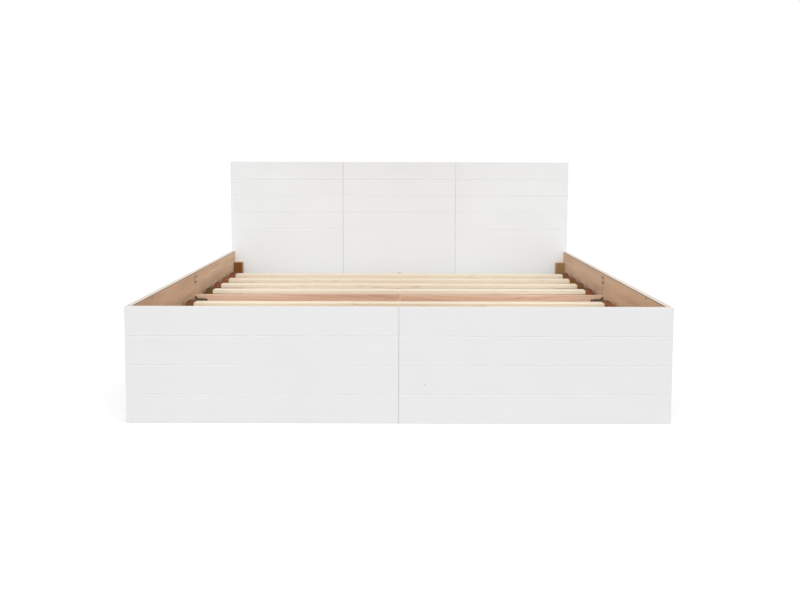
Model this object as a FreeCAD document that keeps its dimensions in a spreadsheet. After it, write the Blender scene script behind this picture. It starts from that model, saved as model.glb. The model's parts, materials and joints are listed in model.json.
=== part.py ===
import FreeCAD, Part
import os
import Sketcher

# Storage bed for an 1800 x 2000 mm mattress: grooved white boards outside, bare timber inside,
# a slatted base on ledgers, and one wide drawer on castors under each side of the foot half.
# Millimetres. +X runs across the bed, +Y from the foot to the head, +Z up.
# The origin is on the floor, in the middle of the overall box.

Vector = FreeCAD.Vector
UP = Vector(0, 0, 1)
ACROSS = Vector(1, 0, 0)
SIDES = ("left", "right")
HEAD_PANELS = ("left", "centre", "right")

DRIVING_SIZES = (
    ("bed_width", 1850, "across the outer faces of the side boards"),
    ("foot_to_head", 2040, "outer face of the footboard to the front face of the headboard"),
    ("foot_plank", 100, "height of one plank of the footboard and sides"),
    ("foot_planks", 4, "planks in the height of the footboard and sides"),
    ("drawer_planks", 2, "planks in the height of a drawer face"),
    ("head_width", 1840, "width of the headboard"),
    ("head_height", 889, "height of the headboard above the floor"),
    ("head_top_plank", 97, "height of the headboard's top plank"),
    ("head_plank", 90, "from groove to groove of the headboard"),
    ("head_grooves", 4, "grooves of the headboard, from the top down"),
    ("foot_thickness", 18, "footboard panels"),
    ("side_thickness", 22, "side rails and side panels"),
    ("head_thickness", 18, "headboard panels"),
    ("seam_gap", 0.4, "open joint between neighbouring panels"),
    ("groove_depth", 1.4, "depth of a plank groove"),
    ("groove_width", 4.8, "width of a plank groove at the surface"),
    ("panel_ease", 1, "chamfer round the painted panels"),
    ("timber_ease", 1.5, "chamfer round the bare timbers"),
    ("batten_thickness", 22, "battens behind the headboard"),
    ("batten_height", 70, "battens behind the headboard"),
    ("batten_inset", 30, "end of a batten to the edge of the headboard"),
    ("batten_drop", 85, "top of the upper batten below the headboard's top"),
    ("batten_spacing", 320, "top of the upper batten to the top of the lower one"),
    ("cleat_width", 60, "cleat behind the footboard's seam"),
    ("cleat_thickness", 18, "cleat behind the footboard's seam"),
    ("joint_from_foot", 1018, "joint of side rail and side panel, from the footboard's face"),
    ("cross_thickness", 22, "cross boards under that joint"),
    ("divider_thickness", 22, "centre divider and centre beam"),
    ("beam_height", 100, "centre beam under the head half of the slats"),
    ("post_width", 47, "corner posts, across the bed"),
    ("post_depth", 40, "corner posts, along the bed"),
    ("post_height", 342, "corner posts"),
    ("ledger_width", 55, "ledgers, across the bed"),
    ("ledger_height", 45, "ledgers"),
    ("slat_top", 302, "top of the slats above the floor"),
    ("slat_width", 60, "slats, along the bed"),
    ("slat_thickness", 18, "slats"),
    ("slat_round", 2.5, "rounding of the slats"),
    ("slat_pitch", 204, "from slat to slat"),
    ("first_slat", 173, "middle of the first slat from the footboard's face"),
    ("stop_width", 37, "stop blocks at the slat ends, across the bed"),
    ("stop_lean", 9, "how far the outer face of a stop block leans in at its top"),
    ("stop_length", 60, "stop blocks, along the bed"),
    ("stop_height", 24, "stop blocks"),
    ("stop_rail_gap", 10, "foot of a stop block to the side board"),
    ("stop_slat_gap", 0.5, "stop block to slat end"),
    ("stop_ease", 1.2, "chamfer round the stop blocks"),
    ("drawer_gap", 2, "gap round a drawer face"),
    ("drawer_floor_gap", 8, "drawer face above the floor"),
    ("closing_gap", 0.5, "closed drawer face to the post and cross board that stop it"),
    ("scoop_radius", 90, "hand scoop in the top edge of a drawer face"),
    ("scoop_depth", 28, "hand scoop in the top edge of a drawer face"),
    ("box_thickness", 15, "drawer box boards"),
    ("box_height", 130, "drawer sides above the drawer bottom"),
    ("box_clearance", 6, "drawer box to what stands beside it"),
    ("back_clearance", 12, "drawer box to the centre divider"),
    ("bottom_thickness", 12, "drawer bottoms"),
    ("catch_height", 30, "drawer back above the lower edge of the side rail, which stops it"),
    ("box_ease", 0.8, "chamfer round the drawer boards"),
    ("castor_height", 42, "floor to the top of a castor's plate"),
    ("castor_inset", 70, "middle of a castor from the edges of the drawer box"),
    ("castor_sheet", 2, "steel of a castor bracket"),
    ("plate_length", 56, "castor plate in the rolling direction"),
    ("plate_width", 34, "castor plate along the axle"),
    ("plate_hole_radius", 2.2, "screw holes in a castor plate"),
    ("plate_hole_spacing", 44, "screw holes in a castor plate"),
    ("cheek_width", 26, "cheeks of a castor bracket"),
    ("cheek_drop", 8, "lower edge of the cheeks below the axle"),
    ("cheek_cut", 6, "cut corners of the cheeks"),
    ("wheel_radius", 18, "castor wheels"),
    ("wheel_width", 16, "castor wheels"),
    ("wheel_web", 8, "web of a castor wheel"),
    ("wheel_rim", 5, "rim of a castor wheel, in the radius"),
    ("wheel_hub_radius", 7, "hub of a castor wheel"),
    ("wheel_ease", 1.2, "chamfer round the tread"),
    ("wheel_side_gap", 1, "wheel to each cheek"),
    ("axle_radius", 3, "castor axles"),
    ("axle_clearance", 0.05, "radial clearance of an axle in its wheel and its bracket"),
    ("rivet_radius", 5, "heads of a castor axle"),
    ("rivet_height", 1.5, "heads of a castor axle"),
    ("screw_radius", 2, "shank of the frame's screws"),
    ("screw_head_radius", 4.2, "countersunk head of the frame's screws"),
    ("screw_head_height", 2.6, "countersunk head of the frame's screws"),
    ("screw_bite", 13, "depth of a screw's point in the board that it holds"),
    ("pan_head_radius", 3.8, "raised head of the screws that hold sheet steel"),
    ("pan_crown_radius", 2.6, "flat crown of a raised head"),
    ("pan_head_height", 1.6, "raised head of the screws that hold sheet steel"),
    ("castor_screw_bite", 9, "depth of a castor's screws in the drawer bottom"),
    ("joint_plate_length", 46, "steel plates across the joints of the side boards"),
    ("joint_plate_height", 34, "steel plates across the joints of the side boards"),
    ("joint_plate_sheet", 2, "steel plates across the joints of the side boards"),
    ("joint_plate_drop", 14, "top of a joint plate below the top of the side boards"),
    ("joint_screw_spread", 26, "between the screws of a joint plate, along the bed"),
    ("joint_screw_rise", 22, "between the screws of a joint plate, upward"),
    ("rail_screw_from_foot", 280, "lone screw high on a side rail, from the footboard's face"),
    ("rail_screw_drop", 9, "lone screw below the top of the side rail"),
)

# Places along a ledger and across a headboard panel where screws go, as parts of its length.
LEDGER_SCREW_SHARES = (0.08, 0.36, 0.64, 0.92)
PANEL_SCREW_SHARES = (0.2, 0.8)

document = FreeCAD.newDocument("storage_bed")
sizes = document.addObject("Spreadsheet::Sheet", "Sizes")
for row, (alias, number, meaning) in enumerate(DRIVING_SIZES, start=1):
    sizes.set(f"A{row}", alias)
    sizes.set(f"B{row}", str(number))
    sizes.set(f"C{row}", meaning)
    sizes.setAlias(f"B{row}", alias)
document.recompute()

# Heights and places that several pieces share, as formulas of the sheet.
BED_HALF = "(Sizes.bed_width / 2)"
SIDE_INNER = f"({BED_HALF} - Sizes.side_thickness)"
FOOT_FACE = "(-(Sizes.foot_to_head + Sizes.head_thickness + Sizes.batten_thickness) / 2)"
FOOT_BACK = f"({FOOT_FACE} + Sizes.foot_thickness)"
HEAD_FACE = f"({FOOT_FACE} + Sizes.foot_to_head)"
HEAD_BACK = f"({HEAD_FACE} + Sizes.head_thickness)"
REAR_END = f"({HEAD_BACK} + Sizes.batten_thickness)"
HEAD_PANEL_PITCH = f"(Sizes.head_width / {len(HEAD_PANELS)})"
FOOT_HEIGHT = "(Sizes.foot_plank * Sizes.foot_planks)"
RAIL_BOTTOM = "(Sizes.foot_plank * Sizes.drawer_planks)"
JOINT = f"({FOOT_FACE} + Sizes.joint_from_foot)"
CROSS_FRONT = f"({JOINT} - Sizes.cross_thickness / 2)"
CROSS_BACK = f"({JOINT} + Sizes.cross_thickness / 2)"
SLAT_UNDER = "(Sizes.slat_top - Sizes.slat_thickness)"
LEDGER_INNER = f"({SIDE_INNER} - Sizes.ledger_width)"
STOP_OUTER = f"({SIDE_INNER} - Sizes.stop_rail_gap)"
STOP_INNER = f"({STOP_OUTER} - Sizes.stop_width)"
SLAT_END = f"({STOP_INNER} - Sizes.stop_slat_gap)"
FACE_BACK = f"({SIDE_INNER} + Sizes.closing_gap)"
BOX_FRONT_INNER = f"({FACE_BACK} - Sizes.box_thickness)"
BOX_BACK_OUTER = "(Sizes.divider_thickness / 2 + Sizes.back_clearance)"
BOX_BACK_INNER = f"({BOX_BACK_OUTER} + Sizes.box_thickness)"
BOX_FOOT = f"({FOOT_BACK} + Sizes.post_depth + Sizes.box_clearance)"
BOX_HEAD = f"({CROSS_FRONT} - Sizes.box_clearance)"
BOX_FLOOR = "(Sizes.castor_height + Sizes.bottom_thickness)"
BOX_TOP = f"({BOX_FLOOR} + Sizes.box_height)"
FACE_TOP = f"({RAIL_BOTTOM} - Sizes.drawer_gap)"
SCOOP_MIDDLE = f"({FACE_TOP} - Sizes.scoop_depth + Sizes.scoop_radius)"
FACE_FOOT = f"({FOOT_BACK} + Sizes.drawer_gap)"
FACE_HEAD = f"({JOINT} - Sizes.drawer_gap)"
PLATE_UNDER = "(Sizes.castor_height - Sizes.castor_sheet)"
BRACKET_HALF = "(Sizes.wheel_width / 2 + Sizes.wheel_side_gap + Sizes.castor_sheet)"

kept = []


def size_of(formula):
    """The present value of a formula of the sheet."""
    return float(sizes.evalExpression(formula))


def bind(thing, name, formula):
    """Tie one property or constraint to a formula, and give it that value now."""
    thing.setExpression(name, formula)


def keep(thing, label):
    """Give a finished sub-part the name that its file carries."""
    thing.Label = label
    kept.append(thing)
    return thing


def place(thing, corner, turn=0):
    """Put a sub-part's own origin at a point given by three formulas, turned about +Z."""
    thing.Placement = FreeCAD.Placement(Vector(), FreeCAD.Rotation(UP, turn))
    for axis, formula in zip("xyz", corner):
        bind(thing, f"Placement.Base.{axis}", formula)


def span(side, inner, outer):
    """The lower X of a piece that lies from inner to outer on one side of the bed."""
    return f"(-({outer}))" if side == "left" else inner


def new_body(name):
    return document.addObject("PartDesign::Body", name + "_body")


def new_sketch(body, plane, name):
    """A sketch on one of the body's own origin planes."""
    sketch = body.newObject("Sketcher::SketchObject", name)
    support = [feature for feature in body.Origin.OriginFeatures if feature.Role == plane][0]
    sketch.AttachmentSupport = [(support, "")]
    sketch.MapMode = "FlatFace"
    return sketch


def draw_loop(sketch, corners):
    """Straight lines from corner to corner and back; gives the number of the first line."""
    first = sketch.GeometryCount
    count = len(corners)
    for index, corner in enumerate(corners):
        sketch.addGeometry(Part.LineSegment(corner, corners[(index + 1) % count]), False)
    for index in range(count):
        following = first + (index + 1) % count
        sketch.addConstraint(Sketcher.Constraint("Coincident", first + index, 2, following, 1))
    return first


def draw_rectangle(sketch, left, bottom, width, height):
    """A rectangle whose four sizes are bound to formulas."""
    x, y, w, d = (size_of(formula) for formula in (left, bottom, width, height))
    first = draw_loop(sketch, [Vector(x, y, 0), Vector(x + w, y, 0), Vector(x + w, y + d, 0),
                               Vector(x, y + d, 0)])
    for index in (0, 2):
        sketch.addConstraint(Sketcher.Constraint("Horizontal", first + index))
    for index in (1, 3):
        sketch.addConstraint(Sketcher.Constraint("Vertical", first + index))
    tie_distance(sketch, "DistanceX", (-1, 1, first, 1), left)
    tie_distance(sketch, "DistanceY", (-1, 1, first, 1), bottom)
    tie_distance(sketch, "DistanceX", (first, 1, first, 2), width)
    tie_distance(sketch, "DistanceY", (first + 1, 1, first + 1, 2), height)


def draw_triangle(sketch, height, half_width, depth):
    """A groove's section: its mouth on the vertical axis, its point at the given depth."""
    z, half, deep = (size_of(formula) for formula in (height, half_width, depth))
    draw_loop(sketch, [Vector(0, z - half, 0), Vector(deep, z, 0), Vector(0, z + half, 0)])
    sketch.addConstraint(Sketcher.Constraint("PointOnObject", 0, 1, -2))
    sketch.addConstraint(Sketcher.Constraint("PointOnObject", 2, 1, -2))
    tie_distance(sketch, "DistanceX", (-1, 1, 1, 1), depth)
    tie_distance(sketch, "DistanceY", (-1, 1, 1, 1), height)
    tie_distance(sketch, "DistanceY", (0, 1, 1, 1), half_width)
    tie_distance(sketch, "DistanceY", (1, 1, 2, 1), half_width)


def draw_leaning_block(sketch, width, height, lean):
    """A section from its lower corner at the origin, whose far side leans in towards the top."""
    w, h, inward = (size_of(formula) for formula in (width, height, lean))
    draw_loop(sketch, [Vector(), Vector(w, 0, 0), Vector(w - inward, h, 0), Vector(0, h, 0)])
    sketch.addConstraint(Sketcher.Constraint("Coincident", 0, 1, -1, 1))
    for index in (0, 2):
        sketch.addConstraint(Sketcher.Constraint("Horizontal", index))
    sketch.addConstraint(Sketcher.Constraint("Vertical", 3))
    tie_distance(sketch, "DistanceX", (0, 1, 0, 2), width)
    tie_distance(sketch, "DistanceY", (0, 1, 3, 1), height)
    tie_distance(sketch, "DistanceX", (1, 2, 1, 1), lean)


def draw_circle(sketch, across, up, radius):
    """A circle whose middle and radius are bound to formulas."""
    x, y, r = (size_of(formula) for formula in (across, up, radius))
    circle = sketch.addGeometry(Part.Circle(Vector(x, y, 0), UP, r), False)
    tie_middle(sketch, "X", circle, across)
    tie_middle(sketch, "Y", circle, up)
    index = sketch.addConstraint(Sketcher.Constraint("Radius", circle, r))
    bind(sketch, f"Constraints[{index}]", radius)


def tie_middle(sketch, axis, circle, formula):
    """Hold a circle's middle on an axis of the sketch, or at a bound distance from it."""
    if formula == "0":
        other_axis = -2 if axis == "X" else -1
        sketch.addConstraint(Sketcher.Constraint("PointOnObject", circle, 3, other_axis))
    else:
        tie_distance(sketch, "Distance" + axis, (-1, 1, circle, 3), formula)


def tie_distance(sketch, kind, ends, formula):
    """A horizontal or vertical distance bound to a formula."""
    number = size_of(formula)
    index = sketch.addConstraint(Sketcher.Constraint(kind, *ends, number))
    bind(sketch, f"Constraints[{index}]", formula)


def add_pad(body, sketch, length, middle=False, reverse=False):
    pad = body.newObject("PartDesign::Pad", sketch.Name + "_pad")
    pad.Profile = sketch
    bind(pad, "Length", length)
    pad.Midplane = middle
    pad.Reversed = reverse
    return pad


def add_cut(body, sketch):
    """A pocket through everything, both ways from its sketch."""
    pocket = body.newObject("PartDesign::Pocket", sketch.Name + "_cut")
    pocket.Profile = sketch
    pocket.Type = "ThroughAll"
    pocket.Midplane = True
    return pocket


def add_ease(body, feature, ease, kind="PartDesign::Chamfer"):
    """Chamfer or round every edge of the solid made so far."""
    document.recompute()
    edges = [f"Edge{index + 1}" for index in range(len(feature.Shape.Edges))]
    eased = body.newObject(kind, body.Name + "_ease")
    eased.Base = (feature, edges)
    bind(eased, "Radius" if kind.endswith("Fillet") else "Size", ease)
    return eased


def board(name, corner, lengths, ease, kind="PartDesign::Chamfer"):
    """A plain board: its lowest corner, its three lengths and its eased edges."""
    body = new_body(name)
    sketch = new_sketch(body, "XY_Plane", name + "_outline")
    draw_rectangle(sketch, "0", "0", lengths[0], lengths[1])
    pad = add_pad(body, sketch, lengths[2])
    add_ease(body, pad, ease, kind)
    place(body, corner)
    return body


def grooved_board(name, width, height, thickness, first_groove, grooves, pitch):
    """An upright board with level grooves in the face at its own y = 0."""
    body = new_body(name)
    sketch = new_sketch(body, "XY_Plane", name + "_outline")
    draw_rectangle(sketch, "0", "0", width, thickness)
    pad = add_pad(body, sketch, height)
    add_ease(body, pad, "Sizes.panel_ease")
    section = new_sketch(body, "YZ_Plane", name + "_groove")
    draw_triangle(section, first_groove, "Sizes.groove_width / 2", "Sizes.groove_depth")
    groove = add_cut(body, section)
    document.recompute()
    pattern = body.newObject("PartDesign::LinearPattern", name + "_grooves")
    pattern.Originals = [groove]
    pattern.Direction = (section, ["V_Axis"])
    pattern.Mode = "Spacing"
    bind(pattern, "Offset", pitch)
    bind(pattern, "Occurrences", grooves)
    body.Tip = pattern
    return body


def group(name, members):
    """Like pieces that share one node, each its own solid."""
    compound = document.addObject("Part::Compound", name + "_group")
    compound.Links = members
    return keep(compound, name)


def make_footboard():
    """Two grooved halves with a tight seam, and the cleat behind it."""
    width = f"({BED_HALF} - Sizes.seam_gap / 2)"
    for side in SIDES:
        name = "footboard_panel_" + side
        panel = grooved_board(name, width, FOOT_HEIGHT, "Sizes.foot_thickness",
                              "Sizes.foot_plank", "Sizes.foot_planks - 1", "Sizes.foot_plank")
        place(panel, (span(side, "Sizes.seam_gap / 2", BED_HALF), FOOT_FACE, "0"))
        keep(panel, name)
    cleat = board("footboard_cleat", ("-Sizes.cleat_width / 2", FOOT_BACK, "0"),
                  ("Sizes.cleat_width", "Sizes.cleat_thickness", "Sizes.slat_top"),
                  "Sizes.timber_ease")
    keep(cleat, "footboard_cleat")


def make_headboard():
    """Three grooved panels side by side, joined by two battens at the back."""
    width = f"({HEAD_PANEL_PITCH} - Sizes.seam_gap)"
    first = "(Sizes.head_height - Sizes.head_top_plank - (Sizes.head_grooves - 1) * Sizes.head_plank)"
    for index, part_name in enumerate(HEAD_PANELS):
        name = "headboard_panel_" + part_name
        panel = grooved_board(name, width, "Sizes.head_height", "Sizes.head_thickness",
                              first, "Sizes.head_grooves", "Sizes.head_plank")
        left = f"(-Sizes.head_width / 2 + {index} * {HEAD_PANEL_PITCH} + Sizes.seam_gap / 2)"
        place(panel, (left, HEAD_FACE, "0"))
        keep(panel, name)
    upper = "(Sizes.head_height - Sizes.batten_drop - Sizes.batten_height)"
    heights = {"upper": upper, "lower": f"({upper} - Sizes.batten_spacing)"}
    for part_name, height in heights.items():
        name = "headboard_batten_" + part_name
        batten = board(name, ("-Sizes.head_width / 2 + Sizes.batten_inset", HEAD_BACK, height),
                       ("Sizes.head_width - 2 * Sizes.batten_inset", "Sizes.batten_thickness",
                        "Sizes.batten_height"), "Sizes.timber_ease")
        keep(batten, name)
    return heights


def place_side_board(thing, side, foot_end, head_end, bottom):
    """Turn an upright board so that its grooved face looks outward at one side of the bed."""
    if side == "left":
        place(thing, (f"-{BED_HALF}", head_end, bottom), -90)
    else:
        place(thing, (BED_HALF, foot_end, bottom), 90)


def make_sides():
    """At each side a rail over the drawer, and a panel down to the floor in the head half."""
    for side in SIDES:
        name = "side_rail_" + side
        rail = grooved_board(name, f"({JOINT} - {FOOT_BACK})", f"({FOOT_HEIGHT} - {RAIL_BOTTOM})",
                             "Sizes.side_thickness", "Sizes.foot_plank",
                             "Sizes.foot_planks - Sizes.drawer_planks - 1", "Sizes.foot_plank")
        place_side_board(rail, side, FOOT_BACK, JOINT, RAIL_BOTTOM)
        keep(rail, name)
        name = "side_panel_" + side
        panel = grooved_board(name, f"({HEAD_FACE} - {JOINT})", FOOT_HEIGHT,
                              "Sizes.side_thickness", "Sizes.foot_plank",
                              "Sizes.foot_planks - 1", "Sizes.foot_plank")
        place_side_board(panel, side, JOINT, HEAD_FACE, "0")
        keep(panel, name)


def make_inner_frame():
    """Corner posts, cross boards, centre divider, centre beam and the four ledgers."""
    post_inner = f"({SIDE_INNER} - Sizes.post_width)"
    ledger_bottom = f"({SLAT_UNDER} - Sizes.ledger_height)"
    post_front = f"({HEAD_FACE} - Sizes.post_depth)"
    post_back = f"({FOOT_BACK} + Sizes.post_depth)"
    for side in SIDES:
        for end, along in (("foot", FOOT_BACK), ("head", post_front)):
            name = f"{end}_post_{side}"
            post = board(name, (span(side, post_inner, SIDE_INNER), along, "0"),
                         ("Sizes.post_width", "Sizes.post_depth", "Sizes.post_height"),
                         "Sizes.timber_ease")
            keep(post, name)
        for half, start, end in (("foot", post_back, CROSS_FRONT), ("head", CROSS_BACK, post_front)):
            name = f"{half}_ledger_{side}"
            ledger = board(name, (span(side, LEDGER_INNER, SIDE_INNER), start, ledger_bottom),
                           ("Sizes.ledger_width", f"({end} - {start})", "Sizes.ledger_height"),
                           "Sizes.timber_ease")
            keep(ledger, name)
        name = "cross_board_" + side
        inner = "(Sizes.seam_gap / 2)"
        cross = board(name, (span(side, inner, SIDE_INNER), CROSS_FRONT, "0"),
                      (f"({SIDE_INNER} - {inner})", "Sizes.cross_thickness", "Sizes.slat_top"),
                      "Sizes.timber_ease")
        keep(cross, name)
    cleat_back = f"({FOOT_BACK} + Sizes.cleat_thickness)"
    divider = board("centre_divider", ("-Sizes.divider_thickness / 2", cleat_back, "0"),
                    ("Sizes.divider_thickness", f"({CROSS_FRONT} - {cleat_back})", SLAT_UNDER),
                    "Sizes.timber_ease")
    keep(divider, "centre_divider")
    beam = board("centre_beam",
                 ("-Sizes.divider_thickness / 2", CROSS_BACK, f"({SLAT_UNDER} - Sizes.beam_height)"),
                 ("Sizes.divider_thickness", f"({HEAD_FACE} - {CROSS_BACK})", "Sizes.beam_height"),
                 "Sizes.timber_ease")
    keep(beam, "centre_beam")


def slat_middles():
    """The middle of each slat that fits before the head posts, except where the cross boards are."""
    last = size_of(f"{HEAD_FACE} - Sizes.post_depth - Sizes.slat_width / 2")
    clear = size_of("(Sizes.slat_width + Sizes.cross_thickness) / 2")
    found = []
    middle = f"({FOOT_FACE} + Sizes.first_slat)"
    while size_of(middle) <= last:
        if abs(size_of(f"{middle} - {JOINT}")) >= clear:
            found.append(middle)
        middle = f"({middle} + Sizes.slat_pitch)"
    return found


def make_stop(name, side, middle):
    """A block on the ledger, flat towards the slat's end, leaning in from the side board."""
    body = new_body(name)
    section = new_sketch(body, "XZ_Plane", name + "_section")
    draw_leaning_block(section, "Sizes.stop_width", "Sizes.stop_height", "Sizes.stop_lean")
    pad = add_pad(body, section, "Sizes.stop_length", middle=True)
    add_ease(body, pad, "Sizes.stop_ease")
    inner, turn = (f"-{STOP_INNER}", 180) if side == "left" else (STOP_INNER, 0)
    place(body, (inner, middle, SLAT_UNDER), turn)
    return body


def make_slats():
    """Slats across the ledgers, and a stop block on the ledger at each slat's end."""
    stops = []
    for number, middle in enumerate(slat_middles(), start=1):
        name = f"slat_{number}"
        slat = board(name, (f"-{SLAT_END}", f"({middle} - Sizes.slat_width / 2)", SLAT_UNDER),
                     (f"(2 * {SLAT_END})", "Sizes.slat_width", "Sizes.slat_thickness"),
                     "Sizes.slat_round", "PartDesign::Fillet")
        keep(slat, name)
        stops += [make_stop(f"stop_{side}_{number}", side, middle) for side in SIDES]
    group("slat_stops", stops)


def cut_scoop(body, name, middle, height):
    """Cut the round hand scoop out of the board's top edge."""
    sketch = new_sketch(body, "XZ_Plane", name + "_scoop")
    draw_circle(sketch, middle, height, "Sizes.scoop_radius")
    return add_cut(body, sketch)


def make_drawer_face(side):
    """The grooved face, flush with the side rail above it and the side panel behind it."""
    name = "drawer_face_" + side
    length = f"({FACE_HEAD} - {FACE_FOOT})"
    face = grooved_board(name, length, f"({FACE_TOP} - Sizes.drawer_floor_gap)",
                         f"({BED_HALF} - {FACE_BACK})", "Sizes.foot_plank - Sizes.drawer_floor_gap",
                         "Sizes.drawer_planks - 1", "Sizes.foot_plank")
    face.Tip = cut_scoop(face, name, f"({length} / 2)",
                         f"({SCOOP_MIDDLE} - Sizes.drawer_floor_gap)")
    place_side_board(face, side, FACE_FOOT, FACE_HEAD, "Sizes.drawer_floor_gap")
    keep(face, name)


def make_drawer_box(side):
    """Front with its scoop, two sides, a tall back that meets the rail, and the bottom."""
    width = f"({BOX_HEAD} - {BOX_FOOT})"
    depth = f"({BOX_FRONT_INNER} - {BOX_BACK_INNER})"
    name = "drawer_front_" + side
    body = new_body(name)
    outline = new_sketch(body, "YZ_Plane", name + "_outline")
    draw_rectangle(outline, "0", "0", width, "Sizes.box_height")
    pad = add_pad(body, outline, "Sizes.box_thickness")
    add_ease(body, pad, "Sizes.box_ease")
    scoop = new_sketch(body, "YZ_Plane", name + "_scoop")
    middle = f"(({FACE_FOOT} + {FACE_HEAD}) / 2 - {BOX_FOOT})"
    draw_circle(scoop, middle, f"({SCOOP_MIDDLE} - {BOX_FLOOR})", "Sizes.scoop_radius")
    body.Tip = add_cut(body, scoop)
    place(body, (span(side, BOX_FRONT_INNER, FACE_BACK), BOX_FOOT, BOX_FLOOR))
    keep(body, name)

    side_x = span(side, BOX_BACK_INNER, BOX_FRONT_INNER)
    ends = (("foot", BOX_FOOT), ("head", f"({BOX_HEAD} - Sizes.box_thickness)"))
    for end, along in ends:
        name = f"drawer_side_{end}_{side}"
        keep(board(name, (side_x, along, BOX_FLOOR),
                   (depth, "Sizes.box_thickness", "Sizes.box_height"), "Sizes.box_ease"), name)
    name = "drawer_back_" + side
    back_height = f"({RAIL_BOTTOM} + Sizes.catch_height - {BOX_FLOOR})"
    keep(board(name, (span(side, BOX_BACK_OUTER, BOX_BACK_INNER), BOX_FOOT, BOX_FLOOR),
               ("Sizes.box_thickness", width, back_height), "Sizes.box_ease"), name)
    name = "drawer_bottom_" + side
    keep(board(name, (span(side, BOX_BACK_OUTER, FACE_BACK), BOX_FOOT, "Sizes.castor_height"),
               (f"({FACE_BACK} - {BOX_BACK_OUTER})", width, "Sizes.bottom_thickness"),
               "Sizes.box_ease"), name)


def castor_places(side):
    """Names and middles of the four castors under one drawer."""
    outer = f"({FACE_BACK} - Sizes.castor_inset)"
    inner = f"({BOX_BACK_OUTER} + Sizes.castor_inset)"
    sign = "-" if side == "left" else ""
    found = []
    for depth_name, across in (("outer", outer), ("inner", inner)):
        for end, along in (("foot", f"({BOX_FOOT} + Sizes.castor_inset)"),
                           ("head", f"({BOX_HEAD} - Sizes.castor_inset)")):
            found.append((f"{side}_{depth_name}_{end}", sign + across, along))
    return found


def runs_along_axle(edge):
    """Whether a straight edge lies along Y."""
    direction = edge.tangentAt(edge.FirstParameter)
    return abs(direction.y) > max(abs(direction.x), abs(direction.z))


def make_bracket(name, across, along):
    """A steel castor bracket: two cheeks under a plate, with axle and screw holes."""
    body = new_body(name)
    cheeks = new_sketch(body, "XZ_Plane", name + "_cheeks")
    low = "(Sizes.wheel_radius - Sizes.cheek_drop)"
    draw_rectangle(cheeks, "-Sizes.cheek_width / 2", low, "Sizes.cheek_width", f"({PLATE_UNDER} - {low})")
    block = add_pad(body, cheeks, f"2 * {BRACKET_HALF}", middle=True)
    document.recompute()
    low_edges = [f"Edge{index + 1}" for index, edge in enumerate(block.Shape.Edges)
                 if runs_along_axle(edge) and edge.CenterOfMass.z < size_of("Sizes.wheel_radius")]
    cut_corners = body.newObject("PartDesign::Chamfer", name + "_corners")
    cut_corners.Base = (block, low_edges)
    bind(cut_corners, "Size", "Sizes.cheek_cut")
    channel = new_sketch(body, "YZ_Plane", name + "_channel")
    half = "(Sizes.wheel_width / 2 + Sizes.wheel_side_gap)"
    draw_rectangle(channel, f"-{half}", "0", f"(2 * {half})", PLATE_UNDER)
    add_cut(body, channel)
    plate = new_sketch(body, "XZ_Plane", name + "_plate")
    draw_rectangle(plate, "-Sizes.plate_length / 2", PLATE_UNDER, "Sizes.plate_length",
                   "Sizes.castor_sheet")
    add_pad(body, plate, "Sizes.plate_width", middle=True)
    axle_hole = new_sketch(body, "XZ_Plane", name + "_axle_hole")
    draw_circle(axle_hole, "0", "Sizes.wheel_radius", "Sizes.axle_radius + Sizes.axle_clearance")
    add_cut(body, axle_hole)
    screw_holes = new_sketch(body, "XY_Plane", name + "_screw_holes")
    for sign in ("-", ""):
        draw_circle(screw_holes, f"{sign}Sizes.plate_hole_spacing / 2", "0", "Sizes.plate_hole_radius")
    body.Tip = add_cut(body, screw_holes)
    place(body, (across, along, "0"))
    return body


def make_axle(name, across, along):
    """A riveted castor axle with a head outside each cheek."""
    body = new_body(name)
    shank = new_sketch(body, "XZ_Plane", name + "_shank")
    draw_circle(shank, "0", "Sizes.wheel_radius", "Sizes.axle_radius")
    add_pad(body, shank, f"2 * {BRACKET_HALF}", middle=True)
    for end, sign in (("foot", ""), ("head", "-")):
        head = new_sketch(body, "XZ_Plane", f"{name}_{end}_rivet")
        bind(head, "AttachmentOffset.Base.z", f"{sign}{BRACKET_HALF}")
        draw_circle(head, "0", "Sizes.wheel_radius", "Sizes.rivet_radius")
        add_pad(body, head, "Sizes.rivet_height", reverse=sign == "-")
    place(body, (across, along, "0"))
    return body


def make_wheel(name, across, along):
    """A moulded castor wheel: tread and rim, thinner web, hub and bore."""
    body = new_body(name)
    rim = new_sketch(body, "XZ_Plane", name + "_rim")
    draw_circle(rim, "0", "0", "Sizes.wheel_radius")
    tread = add_pad(body, rim, "Sizes.wheel_width", middle=True)
    add_ease(body, tread, "Sizes.wheel_ease")
    for end, sign in (("foot", ""), ("head", "-")):
        recess = new_sketch(body, "XZ_Plane", f"{name}_{end}_recess")
        bind(recess, "AttachmentOffset.Base.z", f"{sign}Sizes.wheel_width / 2")
        draw_circle(recess, "0", "0", "Sizes.wheel_radius - Sizes.wheel_rim")
        draw_circle(recess, "0", "0", "Sizes.wheel_hub_radius")
        cut = body.newObject("PartDesign::Pocket", recess.Name + "_cut")
        cut.Profile = recess
        cut.Reversed = sign == "-"
        bind(cut, "Length", "(Sizes.wheel_width - Sizes.wheel_web) / 2")
    bore = new_sketch(body, "XZ_Plane", name + "_bore")
    draw_circle(bore, "0", "0", "Sizes.axle_radius + Sizes.axle_clearance")
    body.Tip = add_cut(body, bore)
    place(body, (across, along, "Sizes.wheel_radius"))
    return body


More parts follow.
